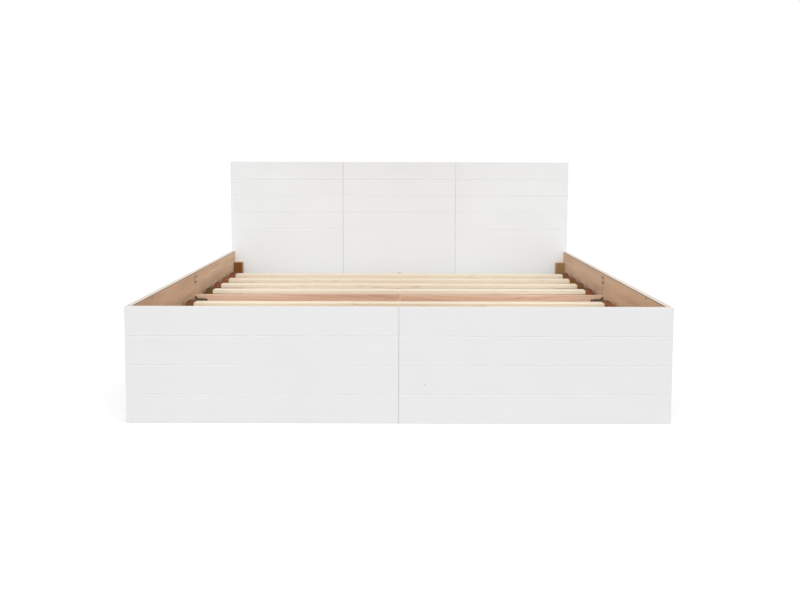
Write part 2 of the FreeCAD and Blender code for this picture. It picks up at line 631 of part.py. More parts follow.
def make_drawers():
    """One drawer at each side, rolling outward on four castors."""
    for side in SIDES:
        make_drawer_face(side)
        make_drawer_box(side)
        brackets = []
        axles = []
        screws = []
        for name, across, along in castor_places(side):
            brackets.append(make_bracket("castor_bracket_" + name, across, along))
            axles.append(make_axle("castor_axle_" + name, across, along))
            keep(make_wheel("castor_wheel_" + name, across, along), "castor_wheel_" + name)
            for end, sign in (("near", "-"), ("far", "+")):
                hole = f"({across} {sign} Sizes.plate_hole_spacing / 2)"
                screws.append(make_screw(f"castor_screw_{name}_{end}", (hole, along, PLATE_UNDER),
                                         "(Sizes.castor_sheet + Sizes.castor_screw_bite)", UP, raised=True))
        group("castor_brackets_" + side, brackets)
        group("castor_axles_" + side, axles)
        group("castor_screws_" + side, screws)


def make_screw(name, seat, length, direction, raised=False):
    """A screw driven along a direction, its head flush at the seat or raised above it."""
    turn = FreeCAD.Rotation(UP, direction)
    head = document.addObject("Part::Cone", name + "_head")
    if raised:
        bind(head, "Radius1", "Sizes.pan_crown_radius")
        bind(head, "Radius2", "Sizes.pan_head_radius")
        bind(head, "Height", "Sizes.pan_head_height")
        bind(head, "Placement.Base.z", "-Sizes.pan_head_height")
    else:
        bind(head, "Radius1", "Sizes.screw_head_radius")
        bind(head, "Radius2", "Sizes.screw_radius")
        bind(head, "Height", "Sizes.screw_head_height")
    shank = document.addObject("Part::Cylinder", name + "_shank")
    bind(shank, "Radius", "Sizes.screw_radius")
    bind(shank, "Height", length)
    screw = document.addObject("Part::MultiFuse", name)
    screw.Shapes = [head, shank]
    screw.Placement = FreeCAD.Placement(Vector(), turn)
    for axis, formula in zip("xyz", seat):
        bind(screw, f"Placement.Base.{axis}", formula)
    return screw


def make_joint_plate(side, screws):
    """A steel plate across the joint of two side boards, with a screw in each corner."""
    name = "joint_plate_" + side
    body = new_body(name)
    bottom = f"({FOOT_HEIGHT} - Sizes.joint_plate_drop - Sizes.joint_plate_height)"
    outline = new_sketch(body, "YZ_Plane", name + "_outline")
    draw_rectangle(outline, "-Sizes.joint_plate_length / 2", "0", "Sizes.joint_plate_length",
                   "Sizes.joint_plate_height")
    add_pad(body, outline, "Sizes.joint_plate_sheet")
    holes = new_sketch(body, "YZ_Plane", name + "_holes")
    inner = f"({SIDE_INNER} - Sizes.joint_plate_sheet)"
    across, direction = (f"-{inner}", -ACROSS) if side == "left" else (inner, ACROSS)
    for end, sign in (("foot", "-"), ("head", "")):
        for row, rise_sign in (("low", "-"), ("high", "+")):
            along = f"({sign}Sizes.joint_screw_spread / 2)"
            up = f"(Sizes.joint_plate_height / 2 {rise_sign} Sizes.joint_screw_rise / 2)"
            draw_circle(holes, along, up, "Sizes.plate_hole_radius")
            screws.append(make_screw(f"joint_screw_{side}_{end}_{row}",
                                     (across, f"({JOINT} + {along})", f"({bottom} + {up})"),
                                     "(Sizes.joint_plate_sheet + Sizes.screw_bite)", direction, raised=True))
    body.Tip = add_cut(body, holes)
    place(body, (span(side, inner, SIDE_INNER), JOINT, bottom))
    return body


def make_fixings(batten_heights):
    """The joint plates, and the screws of the plates, ledgers, rails and headboard battens."""
    screws = []
    plates = [make_joint_plate(side, screws) for side in SIDES]
    ledger_middle = f"({SLAT_UNDER} - Sizes.ledger_height / 2)"
    post_back = f"({FOOT_BACK} + Sizes.post_depth)"
    post_front = f"({HEAD_FACE} - Sizes.post_depth)"
    ledger_screw = "(Sizes.ledger_width + Sizes.screw_bite)"
    for side in SIDES:
        across, direction = (f"-{LEDGER_INNER}", -ACROSS) if side == "left" else (LEDGER_INNER, ACROSS)
        for half, start, end in (("foot", post_back, CROSS_FRONT), ("head", CROSS_BACK, post_front)):
            for index, share in enumerate(LEDGER_SCREW_SHARES):
                along = f"({start} + {share} * ({end} - {start}))"
                screws.append(make_screw(f"{half}_ledger_screw_{side}_{index}",
                                         (across, along, ledger_middle), ledger_screw, direction))
        rail_face = f"-{SIDE_INNER}" if side == "left" else SIDE_INNER
        screws.append(make_screw("rail_screw_" + side,
                                 (rail_face, f"({FOOT_FACE} + Sizes.rail_screw_from_foot)",
                                  f"({FOOT_HEIGHT} - Sizes.rail_screw_drop)"),
                                 "Sizes.screw_bite", direction))
    batten_screw = "(Sizes.batten_thickness + Sizes.screw_bite)"
    for batten, height in batten_heights.items():
        for panel in range(len(HEAD_PANELS)):
            for index, share in enumerate(PANEL_SCREW_SHARES):
                across = f"(-Sizes.head_width / 2 + {panel + share} * {HEAD_PANEL_PITCH})"
                screws.append(make_screw(f"{batten}_batten_screw_{panel}_{index}",
                                         (across, REAR_END, f"({height} + Sizes.batten_height / 2)"),
                                         batten_screw, Vector(0, -1, 0)))
    group("frame_fixings", plates + screws)


def check_and_write():
    """Stop at anything that failed, then write one file for each sub-part."""
    document.recompute()
    for thing in document.Objects:
        if "Invalid" in thing.State or "Error" in thing.State:
            raise RuntimeError(f"{thing.Name} did not compute: {thing.State}")
    for thing in kept:
        if thing.Shape.isNull() or not thing.Shape.isValid():
            raise RuntimeError(f"{thing.Label} has no valid shape")
    os.makedirs("parts", exist_ok=True)
    for thing in kept:
        thing.Shape.exportStep(os.path.join("parts", thing.Label + ".step"))
    print(len(kept), "sub-parts written")


make_footboard()
batten_heights = make_headboard()
make_sides()
make_inner_frame()
make_slats()
make_drawers()
make_fixings(batten_heights)
check_and_write()
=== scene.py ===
import json
import math

import bmesh
import bpy
from mathutils import Matrix, Vector

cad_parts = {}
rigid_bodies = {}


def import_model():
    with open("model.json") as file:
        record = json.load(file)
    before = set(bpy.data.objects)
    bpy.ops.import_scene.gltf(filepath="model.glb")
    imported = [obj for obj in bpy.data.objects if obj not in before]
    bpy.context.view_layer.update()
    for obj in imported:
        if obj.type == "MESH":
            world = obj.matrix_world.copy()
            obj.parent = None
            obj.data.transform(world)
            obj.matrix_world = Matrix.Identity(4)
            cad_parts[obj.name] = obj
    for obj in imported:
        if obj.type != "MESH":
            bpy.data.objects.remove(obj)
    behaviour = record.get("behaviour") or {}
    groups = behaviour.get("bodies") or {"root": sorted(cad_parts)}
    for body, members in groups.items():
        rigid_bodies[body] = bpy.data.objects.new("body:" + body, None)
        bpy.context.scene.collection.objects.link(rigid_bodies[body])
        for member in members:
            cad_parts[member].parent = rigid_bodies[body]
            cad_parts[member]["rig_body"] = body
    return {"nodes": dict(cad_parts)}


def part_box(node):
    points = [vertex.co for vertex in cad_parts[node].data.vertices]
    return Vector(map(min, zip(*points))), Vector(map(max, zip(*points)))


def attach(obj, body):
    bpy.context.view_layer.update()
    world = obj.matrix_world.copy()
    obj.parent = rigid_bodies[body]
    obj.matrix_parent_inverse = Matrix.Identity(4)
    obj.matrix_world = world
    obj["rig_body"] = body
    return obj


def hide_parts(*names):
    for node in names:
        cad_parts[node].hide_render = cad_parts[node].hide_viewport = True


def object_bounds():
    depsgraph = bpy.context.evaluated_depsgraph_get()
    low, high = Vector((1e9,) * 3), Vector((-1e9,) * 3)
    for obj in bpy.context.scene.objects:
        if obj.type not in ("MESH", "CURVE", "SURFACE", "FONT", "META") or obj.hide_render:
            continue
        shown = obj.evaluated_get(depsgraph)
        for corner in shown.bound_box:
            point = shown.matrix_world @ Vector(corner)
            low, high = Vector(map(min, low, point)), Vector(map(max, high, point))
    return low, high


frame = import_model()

bl_info = {
    "name": "Storage Bed Finishes",
    "version": (1, 0, 0),
    "blender": (4, 5, 0),
    "location": "3D View > Sidebar > Storage Bed",
    "description": "Paint, timber, steel and studio for a storage bed with slats and two rolling drawers",
    "category": "Object",
}

# Metres. +X runs across the bed, +Y from the foot to the head, +Z up, as in the frame.
CAD_BOX = [list(corner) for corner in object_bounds()]
NODES = frame["nodes"]

X = Vector((1, 0, 0))
Y = Vector((0, 1, 0))
Z = Vector((0, 0, 1))

# How far a countersunk head stands out of its board, so that the two faces don't coincide.
HEAD_LIFT = 0.0003

# Sockets of a colour Mix node, which share their names with those for other kinds of data.
MIX_FACTOR, MIX_LOW, MIX_HIGH, MIX_RESULT = 0, 6, 7, 2

# The kinds of socket that the shared effects have.
NUMBER, VECTOR, COLOUR = "NodeSocketFloat", "NodeSocketVector", "NodeSocketColor"


def srgb(red, green, blue):
    """A display colour in steps of 0 to 255, as the linear values that a shader takes."""
    shares = [step / 255 for step in (red, green, blue)]
    return tuple(share / 12.92 if share <= 0.04045 else ((share + 0.055) / 1.055) ** 2.4
                 for share in shares)


def colour_property(label, default, meaning):
    return bpy.props.FloatVectorProperty(name=label, description=meaning, default=default,
                                         subtype="COLOR", size=3, min=0, max=1)


def number_property(label, default, meaning, **options):
    return bpy.props.FloatProperty(name=label, description=meaning, default=default, **options)


def share_property(label, default, meaning):
    return number_property(label, default, meaning, subtype="FACTOR", min=0, max=1)


def length_property(label, default, meaning):
    return number_property(label, default, meaning, unit="LENGTH", min=0, precision=5)


def draw_property(label, default, meaning):
    return bpy.props.IntProperty(name=label, description=meaning, default=default, min=0)


class BedPaint(bpy.types.PropertyGroup):
    """The satin paint on the outer faces of the boards."""

    white: colour_property("White", srgb(237, 237, 237), "Paint on the outer faces")
    edge: colour_property("Panel edges", srgb(242, 235, 227), "Thin paint on the top edges of the panels")
    side_edge: colour_property("Side edges", srgb(218, 204, 190),
                               "Thinner paint on the top edges of the side boards")
    # The inner corner colour darkens the inner chamfer and a band just below the top of the bare inner face.
    corner: colour_property("Inner corner", srgb(96, 72, 56), "Line where the paint ends at the bare face")
    # The seam colours are painted shade on the ends of the boards, where the boards meet in seams.
    head_seam_shade: colour_property("Headboard seam", srgb(150, 150, 152), "Ends of the headboard's panels")
    foot_seam_shade: colour_property("Footboard seam", srgb(205, 204, 203), "Ends of the footboard's panels")
    side_seam_shade: colour_property("Side seam", srgb(150, 122, 102), "Ends of the side boards")
    scuff: colour_property("Scuffs", srgb(205, 198, 190), "Small marks in the paint")
    roughness: share_property("Roughness", 0.42, "Roughness of the paint")
    stipple: length_property("Stipple", 0.0018, "Size of the roller's stipple")
    film: length_property("Film", 0.00008, "Height of the stipple")


class BedTimber(bpy.types.PropertyGroup):
    """The bare timbers inside the boards."""

    slat_pale: colour_property("Slat, pale", srgb(247, 230, 207), "Early wood of the slats")
    slat_dark: colour_property("Slat, dark", srgb(237, 218, 193), "Late wood of the slats")
    board_pale: colour_property("Board, pale", srgb(234, 199, 165), "Early wood of the boards' bare faces")
    board_dark: colour_property("Board, dark", srgb(202, 163, 134), "Late wood of the boards' bare faces")
    cross_pale: colour_property("Cross board, pale", srgb(232, 199, 169), "Early wood of the cross boards")
    cross_dark: colour_property("Cross board, dark", srgb(196, 152, 121), "Late wood of the cross boards")
    cross_pink: colour_property("Cross board, pink", srgb(214, 168, 156), "Pinker tone of some cross boards")
    pine_pale: colour_property("Pine, pale", srgb(224, 192, 156), "Early wood of the hidden timbers")
    pine_dark: colour_property("Pine, dark", srgb(186, 142, 102), "Late wood of the hidden timbers")
    block_olive: colour_property("Block, olive", srgb(146, 104, 46), "Greenest tone of the stop blocks")
    block_rust: colour_property("Block, rust", srgb(184, 106, 72), "Reddest tone of the stop blocks")
    block_shade: share_property("Block, shade", 0.45,
                                "How much darker the darkest stop block is than the palest")
    # Painted shade on the tops of the stop blocks.
    block_top_shade: share_property("Block, top", 0.55, "How much darker the tops of the stop blocks are")
    block_hues: draw_property("Block hues", 626, "Which draw of chance sets each stop block's hue")
    block_shades: draw_property("Block shades", 1423, "Which draw of chance sets each stop block's shade")
    post_brown: colour_property("Post, brown", srgb(138, 88, 42), "Tone of the darker corner posts")
    post_straw: colour_property("Post, straw", srgb(166, 130, 84), "Tone of the paler corner posts")
    post_face: colour_property("Post faces", srgb(204, 172, 142), "Planed faces of the posts")
    ledger: colour_property("Ledger", srgb(80, 57, 27), "Stained battens under the slats")
    knot: colour_property("Knots", srgb(118, 82, 56), "Knots in the bare timbers")
    ring_width: length_property("Ring width", 0.0052, "Width of a growth ring")


class BedHardware(bpy.types.PropertyGroup):
    """The drawer boxes, castors, screws and plates."""

    ply_pale: colour_property("Plywood, pale", srgb(226, 200, 164), "Early wood of the drawer boards")
    ply_dark: colour_property("Plywood, dark", srgb(204, 172, 132), "Late wood of the drawer boards")
    ply_core: colour_property("Plywood, core", srgb(150, 112, 76), "Dark layers in the edges of the plywood")
    ply_layer: length_property("Plywood layer", 0.003, "Thickness of a pair of layers in the plywood")
    zinc: colour_property("Zinc", srgb(196, 198, 202), "Castor brackets, axles and screws")
    zinc_rubbed: colour_property("Zinc, rubbed", srgb(226, 227, 230), "Edges of the castor brackets")
    yellow_zinc: colour_property("Yellow zinc", srgb(206, 178, 144), "Joint plates")
    yellow_rubbed: colour_property("Yellow zinc, rubbed", srgb(214, 192, 162), "Edges of the joint plates")
    black_zinc: colour_property("Black zinc", srgb(54, 46, 40), "Screws of the frame")
    black_rubbed: colour_property("Black zinc, rubbed", srgb(120, 112, 102), "Edges of the screws")
    wheel: colour_property("Castor wheel", srgb(48, 48, 50), "Moulded castor wheels")


class BedStudio(bpy.types.PropertyGroup):
    """The camera and the soft light."""

    focal_length: number_property("Focal length", 42.92, "Lens of the camera in millimetres",
                                  min=1, subtype="DISTANCE_CAMERA")
    eye: bpy.props.FloatVectorProperty(name="Camera", description="Place of the camera", size=3,
                                       default=(0.0014, -4.2174, 0.8801), subtype="TRANSLATION")
    pitch: number_property("Pitch", 0.0889, "How far the camera looks down", subtype="ANGLE")
    roll: number_property("Roll", -0.0023, "How far the camera leans", subtype="ANGLE")
    rise: number_property("Vertical shift", -0.064, "Shift of the lens that frames the bed")
    slide: number_property("Sideways shift", 0.0006, "Shift of the lens across the bed")
    sky: number_property("Ambient light", 0.5, "Strength of the white surroundings", min=0)
    key: number_property("Key light", 1.26, "Strength of the broad light from the front", min=0)
    left: number_property("Left light", 0.26, "Strength of the broad lights from the left and back", min=0)
    right: number_property("Right light", 0.34, "Strength of the broad light from the right", min=0)
    head: number_property("Head light", 0.86, "Power of each lamp that faces the headboard",
                          min=0, unit="POWER")
    head_tint: colour_property("Head light's colour", (0.74, 0.93, 1.0),
                               "Cool, against the warm light that the slats throw on the headboard")
    floor: colour_property("Floor", (0.8, 0.8, 0.8), "Pale floor")
    floor_glow: number_property("Floor glow", 0.15, "What the camera sees over the lit floor", min=0)


class BedSettings(bpy.types.PropertyGroup):
    """All finishes of the storage bed."""

    paint: bpy.props.PointerProperty(type=BedPaint, name="Paint", description="Outer faces")
    timber: bpy.props.PointerProperty(type=BedTimber, name="Timber", description="Bare timbers")
    hardware: bpy.props.PointerProperty(type=BedHardware, name="Hardware",
                                        description="Drawers and fittings")
    studio: bpy.props.PointerProperty(type=BedStudio, name="Studio", description="Camera and light")


class NodeBuilder:
    """Adds shader nodes to one tree and links them; most calls give back an output socket."""

    def __init__(self, tree):
        self.tree = tree

    def feed(self, socket, value):
        """Link a socket to an output, or set it to a plain value."""
        if isinstance(value, bpy.types.NodeSocket):
            self.tree.links.new(value, socket)
        elif socket.type == "RGBA":
            socket.default_value = (*value[:3], 1)
        else:
            socket.default_value = value

    def add(self, kind, sockets=(), **settings):
        node = self.tree.nodes.new(kind)
        for name, value in settings.items():
            setattr(node, name, value)
        for name, value in dict(sockets).items():
            self.feed(node.inputs[name], value)
        return node

    def place_group(self, group, sockets):
        return self.add("ShaderNodeGroup", sockets, node_tree=group).outputs

    def math(self, operation, *values):
        return self.add("ShaderNodeMath", enumerate(values), operation=operation).outputs[0]

    def vector(self, operation, *values):
        return self.add("ShaderNodeVectorMath", enumerate(values), operation=operation).outputs["Vector"]

    def dot(self, first, second):
        node = self.add("ShaderNodeVectorMath", {0: first, 1: second}, operation="DOT_PRODUCT")
        return node.outputs["Value"]

    def point(self, x, y, z):
        return self.add("ShaderNodeCombineXYZ", {"X": x, "Y": y, "Z": z}).outputs["Vector"]

    def parts(self, vector):
        return self.add("ShaderNodeSeparateXYZ", {"Vector": vector}).outputs

    def mix(self, factor, low, high, blend="MIX"):
        sockets = {MIX_FACTOR: factor, MIX_LOW: low, MIX_HIGH: high}
        node = self.add("ShaderNodeMix", sockets, data_type="RGBA", blend_type=blend)
        return node.outputs[MIX_RESULT]

    def tint(self, colour, other, mask, amount):
        """A colour turned towards another by a share of a mask."""
        return self.mix(self.math("MULTIPLY", mask, amount), colour, other)

    def rise(self, value, start, end, low=0.0, high=1.0):
        """A smooth step of a value from start to end."""
        sockets = {"Value": value, "From Min": start, "From Max": end, "To Min": low, "To Max": high}
        return self.add("ShaderNodeMapRange", sockets, interpolation_type="SMOOTHSTEP").outputs["Result"]

    def noise(self, vector, scale, detail=2.0, roughness=0.5):
        sockets = {"Vector": vector, "Scale": scale, "Detail": detail, "Roughness": roughness}
        return self.add("ShaderNodeTexNoise", sockets).outputs["Fac"]

    def spot(self):
        """The place on the object, in metres of the frame."""
        return self.add("ShaderNodeTexCoord").outputs["Object"]

    def faces(self, direction, least=0.7):
        """One where the surface faces a direction or its opposite at least this squarely."""
        facing = self.add("ShaderNodeNewGeometry").outputs["True Normal"]
        return self.math("GREATER_THAN", self.math("ABSOLUTE", self.dot(facing, direction)), least)

    def chance(self, vector):
        """A steady random value from 0 to 1 for each whole-numbered place."""
        return self.add("ShaderNodeTexWhiteNoise", {"Vector": vector}).outputs["Value"]


class Finish(NodeBuilder):
    """A material with one Principled shader, and the outputs that the finishes here read."""

    def __init__(self, name, **constants):
        self.material = bpy.data.materials.new(name)
        self.material.use_nodes = True
        super().__init__(self.material.node_tree)
        self.tree.nodes.clear()
        sockets = {label.replace("_", " "): value for label, value in constants.items()}
        self.shader = self.add("ShaderNodeBsdfPrincipled", sockets)
        self.add("ShaderNodeOutputMaterial", {"Surface": self.shader.outputs["BSDF"]})
        self.place = self.spot()
        self.facing = self.add("ShaderNodeNewGeometry").outputs["True Normal"]
        # The number that number_boards gives.
        self.seed = self.add("ShaderNodeObjectInfo").outputs["Object Index"]

    def dress(self, colour, roughness, height, depth):
        """Send a colour, a roughness and a relief of the given depth to the shader."""
        bump = self.add("ShaderNodeBump", {"Height": height, "Distance": depth})
        self.feed(self.shader.inputs["Base Color"], colour)
        self.feed(self.shader.inputs["Roughness"], roughness)
        self.feed(self.shader.inputs["Normal"], bump.outputs["Normal"])
        return self.material

    def worn_edges(self, **sockets):
        """A mask of worn outer edges, with values for the effect's Reach and Patches."""
        return self.place_group(edge_wear(), {"Seed": self.seed, **sockets})["Wear"]

    def timber(self, grain, thickness, pale, dark, settings, **figure):
        """Colour, roughness and relief of bare timber whose grain runs along one direction."""
        wood = self.place_group(bare_timber(), {
            "Grain": grain, "Thickness": thickness, "Seed": self.seed, "Pale": pale, "Dark": dark,
            "Knot Colour": settings.knot, "Ring Width": settings.ring_width, **figure})
        return wood["Colour"], wood["Roughness"], wood["Height"]


def shared_effect(name, inputs, outputs):
    """Turn a function that fills in a node group into one that gives back that group, built once."""
    def decorate(fill_in):
        def effect():
            if name in bpy.data.node_groups:
                return bpy.data.node_groups[name]
            group = bpy.data.node_groups.new(name, "ShaderNodeTree")
            for label, kind, default in inputs:
                socket = group.interface.new_socket(name=label, in_out="INPUT", socket_type=kind)
                socket.default_value = default
            for label, kind in outputs:
                group.interface.new_socket(name=label, in_out="OUTPUT", socket_type=kind)
            build = NodeBuilder(group)
            fill_in(build, build.add("NodeGroupInput").outputs, build.add("NodeGroupOutput").inputs)
            return group
        return effect
    return decorate


def seeded_place(build, seed):
    """The place on the object, moved by its seed so that no two boards look alike."""
    place = build.spot()
    shift_per_seed = (3.1, 5.7, 2.3)
    shift = build.vector("SCALE", shift_per_seed)
    build.feed(shift.node.inputs["Scale"], seed)
    return build.vector("ADD", place, shift)


@shared_effect("Bare timber", inputs=(
    ("Grain", VECTOR, X), ("Thickness", VECTOR, Z), ("Seed", NUMBER, 0),
    ("Pale", COLOUR, (0.8, 0.6, 0.4, 1)), ("Dark", COLOUR, (0.6, 0.4, 0.2, 1)),
    ("Knot Colour", COLOUR, (0.2, 0.1, 0.04, 1)), ("Ring Width", NUMBER, 0.005),
    ("Wander", NUMBER, 0.06), ("Knots", NUMBER, 0.3), ("Rings", NUMBER, 0.42), ("Flecks", NUMBER, 0),
), outputs=(("Colour", COLOUR), ("Roughness", NUMBER), ("Height", NUMBER)))
def bare_timber(build, given, result):
    """Sawn timber with growth rings, streaks, fibres, flecks, knots and darker end grain."""
    place = seeded_place(build, given["Seed"])
    across_board = build.vector("CROSS_PRODUCT", given["Thickness"], given["Grain"])
    along = build.dot(place, given["Grain"])
    across = build.dot(place, across_board)
    deep = build.dot(place, given["Thickness"])

    def stretched(along_scale, across_scale):
        return build.point(build.math("MULTIPLY", along, along_scale),
                           build.math("MULTIPLY", across, across_scale),
                           build.math("MULTIPLY", deep, across_scale))

    knots_along, knots_across = 2.4, 9.0
    cells = build.point(build.math("MULTIPLY", along, knots_along),
                        build.math("MULTIPLY", across, knots_across), 0.0)
    nearest = build.add("ShaderNodeTexVoronoi", {"Vector": cells, "Scale": 1.0, "Randomness": 0.8},
                        voronoi_dimensions="2D").outputs
    to_knot = build.vector("MULTIPLY", build.vector("SUBTRACT", cells, nearest["Position"]),
                           (0.7 / knots_along, 1 / knots_across, 0))
    distance = build.add("ShaderNodeVectorMath", {0: to_knot}, operation="LENGTH").outputs["Value"]
    draw = build.parts(nearest["Color"])
    present = build.math("LESS_THAN", draw["X"], given["Knots"])
    knot_radius = build.math("MULTIPLY_ADD", draw["Y"], 0.007, 0.004)
    spread = build.math("DIVIDE", distance, knot_radius)
    knot = build.math("MULTIPLY", build.rise(spread, 1.15, 0.75), present)
    halo = build.math("MULTIPLY", build.rise(spread, 5, 1), present)

    drift = build.noise(stretched(0.9, 6.0), 1.0, 1.5)
    field = build.math("MULTIPLY_ADD", drift, given["Wander"], build.math("MULTIPLY", across, 0.35))
    field = build.math("MULTIPLY_ADD", deep, 0.55, field)
    field = build.math("MULTIPLY_ADD", halo, 0.018, field)
    phase = build.math("FRACT", build.math("DIVIDE", field, given["Ring Width"]))
    rings = build.math("MULTIPLY", build.rise(phase, 0.2, 0.88), build.rise(phase, 1, 0.92))
    streaks = build.noise(stretched(1.5, 24.0), 1.0, 3.0, 0.6)
    fibres = build.noise(stretched(26.0, 900.0), 1.0, 2.0)
    flecks = build.rise(build.noise(stretched(11.0, 190.0), 1.0, 1.0), 0.63, 0.76)
    facing = build.add("ShaderNodeNewGeometry").outputs["True Normal"]
    end = build.rise(build.math("ABSOLUTE", build.dot(facing, given["Grain"])), 0.75, 0.9)

    tone = build.math("MULTIPLY_ADD", rings, given["Rings"], build.rise(streaks, 0.3, 0.75, 0, 0.6))
    tone = build.math("MULTIPLY_ADD", fibres, 0.25, tone)
    colour = build.mix(tone, given["Pale"], given["Dark"])
    colour = build.tint(colour, given["Knot Colour"], flecks, given["Flecks"])
    colour = build.tint(colour, given["Knot Colour"], knot, 0.85)
    build.feed(result["Colour"], build.tint(colour, given["Dark"], end, 0.3))
    build.feed(result["Roughness"], build.rise(streaks, 0, 1, 0.56, 0.72))
    build.feed(result["Height"], build.math("MULTIPLY_ADD", rings, 0.6, fibres))


@shared_effect("Edge wear", inputs=(
    ("Reach", NUMBER, 0.003), ("Seed", NUMBER, 0), ("Patches", NUMBER, 18),
), outputs=(("Wear", NUMBER),))
def edge_wear(build, given, result):
    """A mask of the places on outer edges where handling has worn the surface."""
    rounded = build.add("ShaderNodeBevel", {"Radius": given["Reach"]}, samples=6).outputs["Normal"]
    sharp = build.add("ShaderNodeNewGeometry").outputs["Normal"]
    turn = build.math("SUBTRACT", 1.0, build.dot(rounded, sharp))
    patch = build.noise(seeded_place(build, given["Seed"]), given["Patches"], 3.0, 0.6)
    turned = build.rise(turn, 0.02, 0.2)
    handled = build.rise(patch, 0.42, 0.66)
    build.feed(result["Wear"], build.math("MULTIPLY", turned, handled))


@shared_effect("Paint film", inputs=(
    ("Grain", VECTOR, X), ("Seed", NUMBER, 0), ("Stipple", NUMBER, 0.0018),
), outputs=(("Cloud", NUMBER), ("Stipple", NUMBER), ("Mark", NUMBER)))
def paint_film(build, given, result):
    """The clouding, roller stipple and small marks of a painted board."""
    place = seeded_place(build, given["Seed"])
    build.feed(result["Cloud"], build.noise(place, 3.0, 3.0, 0.55))
    build.feed(result["Stipple"], build.noise(place, build.math("DIVIDE", 1.0, given["Stipple"]), 2.0))
    marks_per_metre, share_present = 4.0, 0.35
    spot = build.point(build.dot(place, given["Grain"]), build.parts(place)["Z"], 0.0)
    nearest = build.add("ShaderNodeTexVoronoi", {"Vector": spot, "Scale": marks_per_metre},
                        voronoi_dimensions="2D").outputs
    draw = build.parts(nearest["Color"])
    mark_radius = build.math("MULTIPLY_ADD", draw["Y"], 0.009, 0.004)
    inside = build.math("LESS_THAN", nearest["Distance"], mark_radius)
    present = build.math("LESS_THAN", draw["X"], share_present)
    build.feed(result["Mark"], build.math("MULTIPLY", inside, present))


@shared_effect("Saw marks", inputs=(("Stripes", VECTOR, (40, 190, 190)),), outputs=(("Marks", NUMBER),))
def saw_marks(build, given, result):
    """How far a sawn face is darkened, in clouds and in stripes."""
    place = build.spot()
    stripes = build.noise(build.vector("MULTIPLY", place, given["Stripes"]), 1.0, 2.0)
    clouds = build.noise(place, 70.0, 2.0)
    striped = build.rise(stripes, 0.4, 0.7, 0, 0.35)
    clouded = build.rise(clouds, 0.4, 0.7, 0, 0.25)
    build.feed(result["Marks"], build.math("ADD", striped, clouded))


@shared_effect("Plywood layers", inputs=(("Thickness", VECTOR, Z), ("Layer", NUMBER, 0.003)),
               outputs=(("Core", NUMBER),))
def plywood_layers(build, given, result):
    """A mask of the dark layers in the cut edges of plywood."""
    cut = build.math("SUBTRACT", 1.0, build.faces(given["Thickness"], 0.6))
    depth = build.math("DIVIDE", build.dot(build.spot(), given["Thickness"]), given["Layer"])
    dark = build.rise(build.math("PINGPONG", depth, 0.5), 0.35, 0.15)
    build.feed(result["Core"], build.math("MULTIPLY", cut, dark))


@shared_effect("Plating", inputs=(("Spangles", NUMBER, 70),),
               outputs=(("Spangle", NUMBER), ("Roughness", NUMBER), ("Height", NUMBER)))
def plating(build, given, result):
    """The spangle of plated steel, and the roughness and relief of its drawn lines."""
    place = build.spot()
    mottle = build.noise(place, given["Spangles"], 3.0, 0.6)
    drawn = build.noise(build.vector("MULTIPLY", place, (300, 40, 300)), 1.0, 3.0)
    lines = build.rise(drawn, 0.3, 0.7, 0.2, 0.32)
    build.feed(result["Spangle"], build.rise(mottle, 0.35, 0.7))
    build.feed(result["Roughness"], build.math("MULTIPLY_ADD", mottle, 0.2, lines))
    build.feed(result["Height"], drawn)


def painted_board(name, board, outward, grain, edge, seam, settings):
    """White paint outside and on the edges, painted shade at the seams, a dark line at the inner corner, and
    bare pine inside.
    """
    paint, timber = settings.paint, settings.timber
    finish = Finish(name, Specular_IOR_Level=0.35)
    film = finish.place_group(paint_film(), {"Grain": grain, "Seed": finish.seed, "Stipple": paint.stipple})
    outside = finish.dot(finish.facing, outward)
    # The inner face is bare, and the chamfer round it is coloured dark as a line.
    bare = finish.math("LESS_THAN", outside, -0.9)
    line = finish.math("LESS_THAN", outside, -0.5)
    top = finish.math("GREATER_THAN", finish.parts(finish.facing)["Z"], 0.9)
    end = finish.faces(grain, 0.5)
    seam_shade_share = finish.chance(finish.point(finish.seed, 0.0, 0.0))

    coat = finish.mix(finish.rise(film["Cloud"], 0.3, 0.7, 0, 0.05), paint.white, paint.scuff)
    coat = finish.tint(coat, edge, top, 0.9)
    coat = finish.tint(coat, paint.scuff, film["Mark"], 0.5)
    coat = finish.tint(coat, paint.scuff, finish.worn_edges(), 0.3)
    # Painted shade: each board's ends turn towards the seam colour, by a share drawn for each board, to
    # darken the seams.
    coat = finish.tint(coat, seam, end, seam_shade_share)
    wood, wood_roughness, wood_height = finish.timber(
        grain, outward, timber.board_pale, timber.board_dark, timber, Wander=0.08, Knots=0.04, Rings=0.15)
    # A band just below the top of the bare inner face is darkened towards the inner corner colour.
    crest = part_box(board)[1][2]
    line_low, line_high = crest - 0.0045, crest - 0.0015
    darken = finish.rise(finish.parts(finish.place)["Z"], line_low, line_high, 0, 0.7)
    wood = finish.mix(darken, wood, paint.corner)
    colour = finish.mix(bare, finish.mix(line, coat, paint.corner), wood)

    coat_roughness = finish.rise(film["Cloud"], 0.25, 0.75, paint.roughness - 0.05, paint.roughness + 0.07)
    roughness = finish.mix(bare, coat_roughness, wood_roughness)
    height = finish.mix(bare, film["Stipple"], wood_height)
    return finish.dress(colour, roughness, height, paint.film)


def planed_board(name, grain, thickness, pale, dark, settings, painted_face_shading=0.0, **figure):
    """Bare planed timber whose grain runs along one direction, slightly darkened at worn edges.

    One share sets a painted light and shade: how far its broad faces are painted pale and its narrow faces
    dark.
    """
    relief = 0.00015
    finish = Finish(name, Specular_IOR_Level=0.3)
    colour, roughness, height = finish.timber(grain, thickness, pale, dark, settings, **figure)
    # Painted light and shade: broad faces paler, narrow faces darker.
    colour = finish.mix(painted_face_shading, colour, finish.mix(finish.faces(thickness), dark, pale))
    colour = finish.tint(colour, dark, finish.worn_edges(Reach=0.0025), 0.35)
    return finish.dress(colour, roughness, height, relief)


